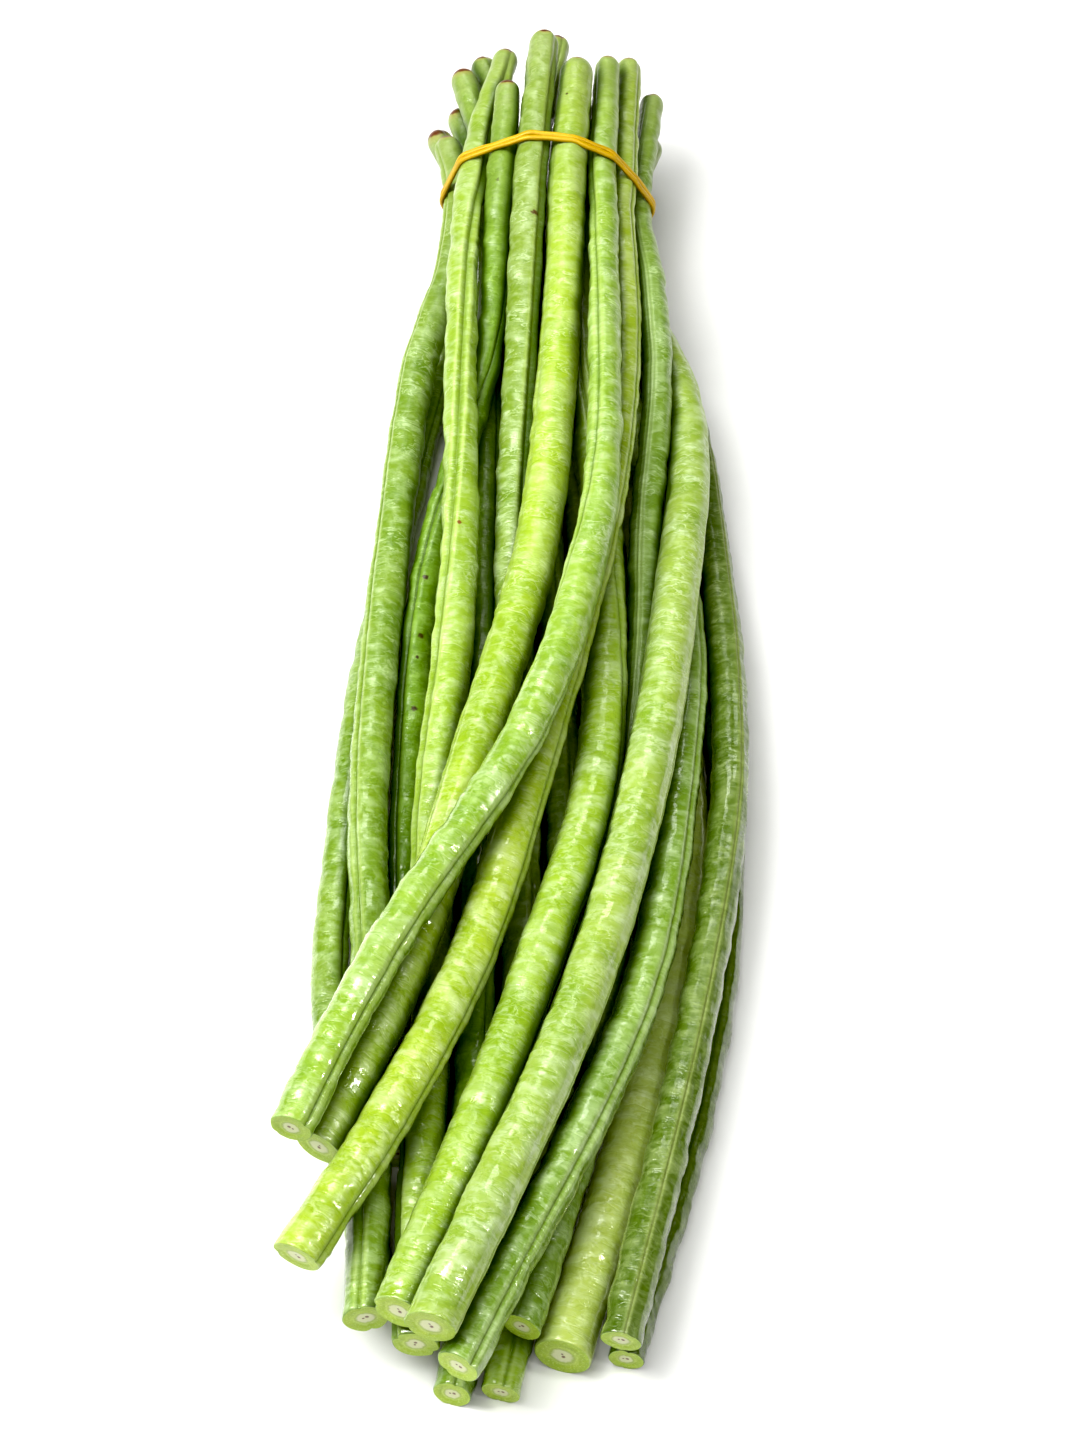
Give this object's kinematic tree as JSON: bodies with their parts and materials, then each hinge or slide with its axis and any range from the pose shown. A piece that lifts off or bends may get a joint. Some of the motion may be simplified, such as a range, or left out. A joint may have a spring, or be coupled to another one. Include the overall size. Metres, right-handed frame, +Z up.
{
  "type": "yardlong bean bunch",
  "caption": "Bunch of long slender green bean pods lying flat, gathered near the rounded tips by a rubber band and fanning out to flat cut stem ends.",
  "frame": {"origin": "on the table, under the middle of the bunch's bounding box", "axes": "+Y along the bunch towards the rounded tips, with the cut stem ends at -Y; +Z up from the table; +X across the bunch"},
  "size_m": [0.0942, 0.3814, 0.0494],
  "materials": {
    "pod_bright_green": "waxy yellow-green pod skin, satin",
    "pod_mid_green": "waxy mid-green pod skin, satin",
    "pod_deep_green": "waxy deep-green pod skin, satin",
    "pod_pale_green": "waxy pale bluish-green pod skin, satin",
    "band_rubber": "yellow-orange elastic, satin"
  },
  "bodies": {
    "root": {"bean_01": "pod_mid_green", "bean_02": "pod_mid_green", "bean_03": "pod_bright_green", "bean_04": "pod_deep_green", "bean_05": "pod_deep_green", "bean_06": "pod_bright_green", "bean_07": "pod_bright_green", "bean_08": "pod_mid_green", "bean_09": "pod_bright_green", "bean_10": "pod_pale_green", "bean_11": "pod_bright_green", "bean_12": "pod_pale_green", "bean_13": "pod_bright_green", "bean_14": "pod_deep_green", "bean_15": "pod_pale_green", "bean_16": "pod_mid_green", "bean_17": "pod_mid_green", "bean_18": "pod_deep_green", "bean_19": "pod_mid_green", "bean_20": "pod_deep_green", "bean_21": "pod_mid_green", "bean_22": "pod_deep_green", "rubber_band": "band_rubber"}
  },
  "joints": []
}
